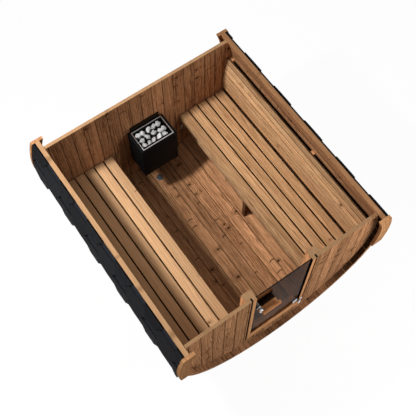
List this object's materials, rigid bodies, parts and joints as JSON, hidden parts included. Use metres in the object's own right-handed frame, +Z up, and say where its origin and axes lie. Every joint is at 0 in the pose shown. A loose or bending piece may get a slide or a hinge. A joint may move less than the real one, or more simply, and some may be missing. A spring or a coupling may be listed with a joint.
{
  "type": "cutaway barrel sauna",
  "caption": "Barrel sauna of wooden staves on cradles, open above a level edge, with facing slatted benches, curved backrests, a stone-topped heater and a hinged glass door.",
  "frame": {"origin": "on the ground, under the middle of the barrel", "axes": "-Y is the door end, +X is to the right seen from the door end, +Z is up"},
  "size_m": [2.2062, 2.32, 1.47],
  "materials": {
    "stave_wood": "oiled red-brown softwood with dark knots",
    "bench_wood": "pale planed softwood",
    "trim_wood": "pale planed softwood",
    "cradle_wood": "brown stained softwood",
    "shingle": "matt bitumen with mineral grit",
    "hoop_steel": "satin",
    "heater_black": "satin black",
    "rim_steel": "brushed",
    "stone": "pale grey rounded stones",
    "drain_metal": "blue-grey satin",
    "smoked_glass": "smoked, polished",
    "fitting_metal": "polished"
  },
  "bodies": {
    "sauna": {"cradle_front": "cradle_wood", "cradle_middle": "cradle_wood", "cradle_back": "cradle_wood", "hoops": "hoop_steel", "staves_bottom": "stave_wood", "staves_lower_left": "stave_wood", "staves_lower_right": "stave_wood", "staves_upper_left": "stave_wood", "staves_upper_right": "stave_wood", "fascia_front_left": "trim_wood", "fascia_front_right": "trim_wood", "fascia_back_left": "trim_wood", "fascia_back_right": "trim_wood", "shingles_left": "shingle", "shingles_right": "shingle", "back_wall": "stave_wood", "front_wall_left": "stave_wood", "front_wall_right": "stave_wood", "front_wall_base": "stave_wood", "door_jamb_left": "trim_wood", "door_jamb_right": "trim_wood", "door_sill": "trim_wood", "hinge_bracket": "fitting_metal", "bench_seat_left": "bench_wood", "bench_seat_right": "bench_wood", "bench_apron_left": "bench_wood", "bench_apron_right": "bench_wood", "bench_support_left": "bench_wood", "bench_support_right": "bench_wood", "backrest_left": "stave_wood", "backrest_right": "stave_wood", "backrest_ribs_left": "bench_wood", "backrest_ribs_right": "bench_wood", "heater_body": "heater_black", "heater_rim": "rim_steel", "heater_stones": "stone", "heater_back_plate": "heater_black", "floor_drain": "drain_metal", "wall_vent": "drain_metal"},
    "door": {"door_glass": "smoked_glass", "hinge_clamp": "fitting_metal", "handle_outer": "bench_wood", "handle_inner": "bench_wood", "handle_bosses": "fitting_metal"}
  },
  "joints": [
    {"name": "door_hinge", "type": "hinge", "parent": "sauna", "child": "door", "pos_m": [0.279, -1.092, 0.395], "axis": [0, 0, 1], "range_deg": [0, 100]}
  ]
}
